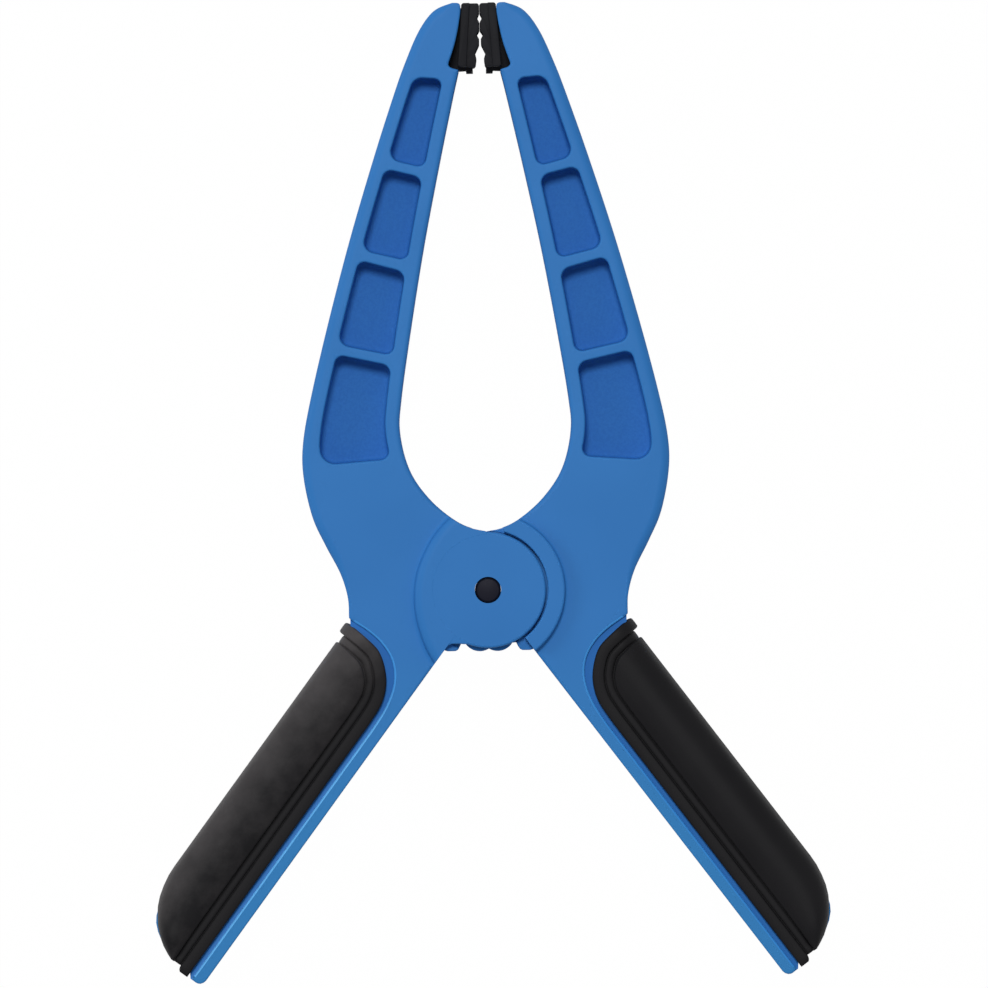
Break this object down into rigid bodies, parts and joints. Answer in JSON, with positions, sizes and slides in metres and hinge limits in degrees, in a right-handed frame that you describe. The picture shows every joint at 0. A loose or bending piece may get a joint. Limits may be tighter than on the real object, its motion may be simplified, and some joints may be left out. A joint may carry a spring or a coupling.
{
  "type": "spring clamp",
  "caption": "Hand spring clamp with long curved pocketed jaws, rocking toothed jaw pads, a knuckle hub on one pivot pin and two splayed handles with soft grips.",
  "frame": {"origin": "pivot axis at the hub's back face, on the plane the clamp lies on", "axes": "+Y from the pivot to the jaw tips, +X towards the right-hand arm, +Z along the pivot axis from the back face to the front face"},
  "size_m": [0.1564, 0.2258, 0.026],
  "materials": {
    "blue_plastic": "fine matt moulded texture",
    "soft_grip": "matt",
    "pad_plastic": "matt",
    "pin_steel": "blackened, satin",
    "spring_steel": "drawn wire"
  },
  "bodies": {
    "fixed_side": {"left_arm": "blue_plastic", "left_grip": "soft_grip", "pivot_pin": "pin_steel", "torsion_spring": "spring_steel"},
    "moving_side": {"right_arm": "blue_plastic", "right_grip": "soft_grip"},
    "left_pad": {"left_jaw_pad": "pad_plastic"},
    "right_pad": {"right_jaw_pad": "pad_plastic"}
  },
  "joints": [
    {"name": "jaw_hinge", "type": "hinge", "parent": "fixed_side", "child": "moving_side", "pos_m": [0, 0, 0.013], "axis": [0, 0, -1], "range_deg": [0, 54], "stiffness_Nm_per_rad": 3.8, "springref_deg": -28.65, "deforming": ["torsion_spring"]},
    {"name": "left_pad_rock", "type": "hinge", "parent": "fixed_side", "child": "left_pad", "pos_m": [-0.0062, 0.1295, 0.013], "axis": [0, 0, -1], "range_deg": [0, 12]},
    {"name": "right_pad_rock", "type": "hinge", "parent": "moving_side", "child": "right_pad", "pos_m": [0.0062, 0.1295, 0.013], "axis": [0, 0, 1], "range_deg": [0, 12]}
  ],
  "couplings": [
    {"joint": "left_pad_rock", "follows": "jaw_hinge", "ratio": 0.22222},
    {"joint": "right_pad_rock", "follows": "jaw_hinge", "ratio": 0.22222}
  ]
}
